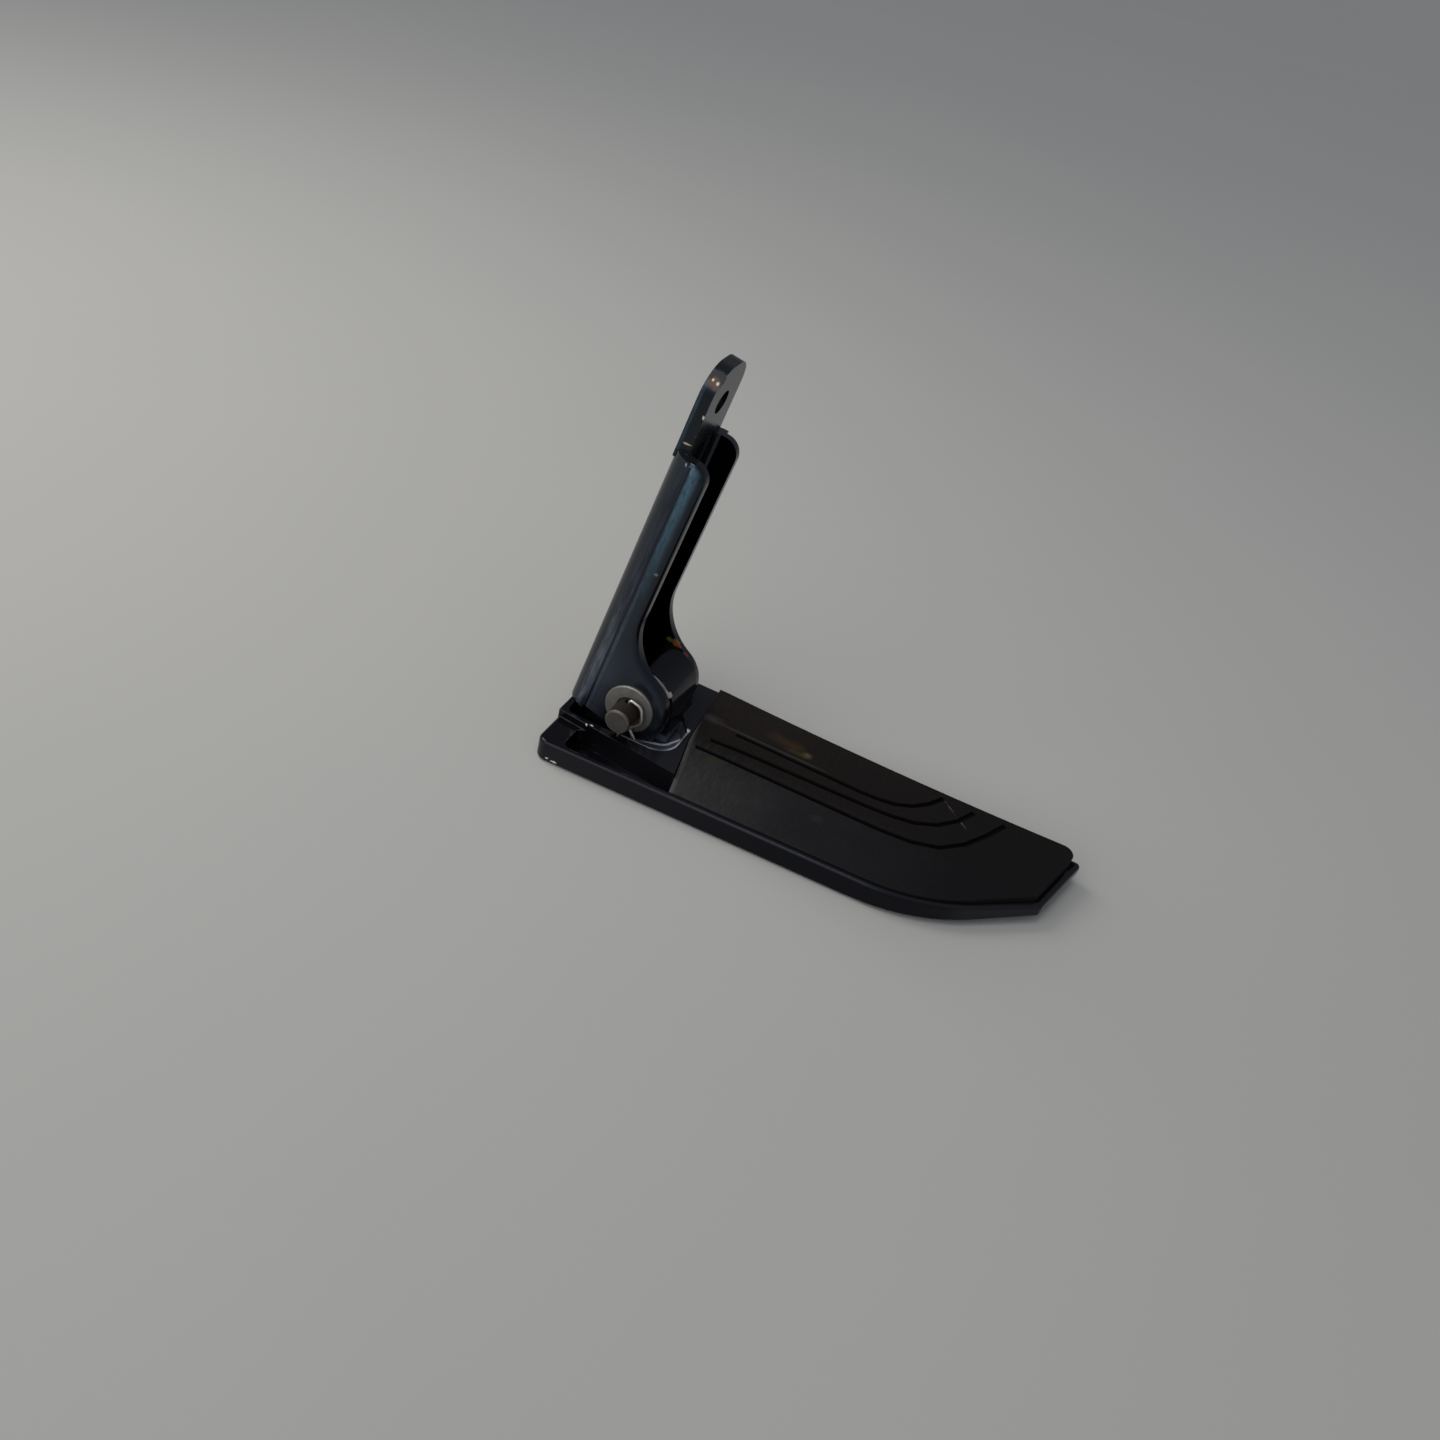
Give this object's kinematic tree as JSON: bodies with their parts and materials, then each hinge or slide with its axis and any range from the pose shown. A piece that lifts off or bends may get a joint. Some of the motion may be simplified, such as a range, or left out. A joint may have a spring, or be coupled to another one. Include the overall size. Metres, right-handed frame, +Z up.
{
  "type": "folding passenger footrest",
  "caption": "Folding passenger footrest: a curved knife-shaped painted casting with a grooved rubber pad, hinged on a pin in a channel bracket with a bolt-on tongue.",
  "frame": {"origin": "centre of the upper bolt hole on the bracket's back face", "axes": "+X out along the footrest, +Y along the hinge pin towards its head, +Z up from the footrest's tread"},
  "size_m": [0.1634, 0.0552, 0.1258],
  "materials": {
    "bracket_paint": "gloss black paint on pressed steel, chipped at edges",
    "casting_paint": "gloss black paint on cast aluminium",
    "pad_rubber": "matte, dusty and scuffed",
    "pin_zinc": "dull zinc with rust on the shank",
    "washer_zinc": "dull zinc",
    "spring_steel": "bare spring steel, slightly rusty",
    "cotter_steel": "bright bent wire"
  },
  "bodies": {
    "bracket": {"bracket": "bracket_paint", "hinge_pin": "pin_zinc", "plain_washer": "washer_zinc", "spring_washer": "spring_steel", "split_pin": "cotter_steel"},
    "footrest": {"footrest_casting": "casting_paint", "rubber_pad": "pad_rubber"}
  },
  "joints": [
    {"name": "footrest_fold", "type": "hinge", "parent": "bracket", "child": "footrest", "pos_m": [0.0029, 0, -0.09759], "axis": [0, -1, 0], "range_deg": [0, 85]}
  ]
}
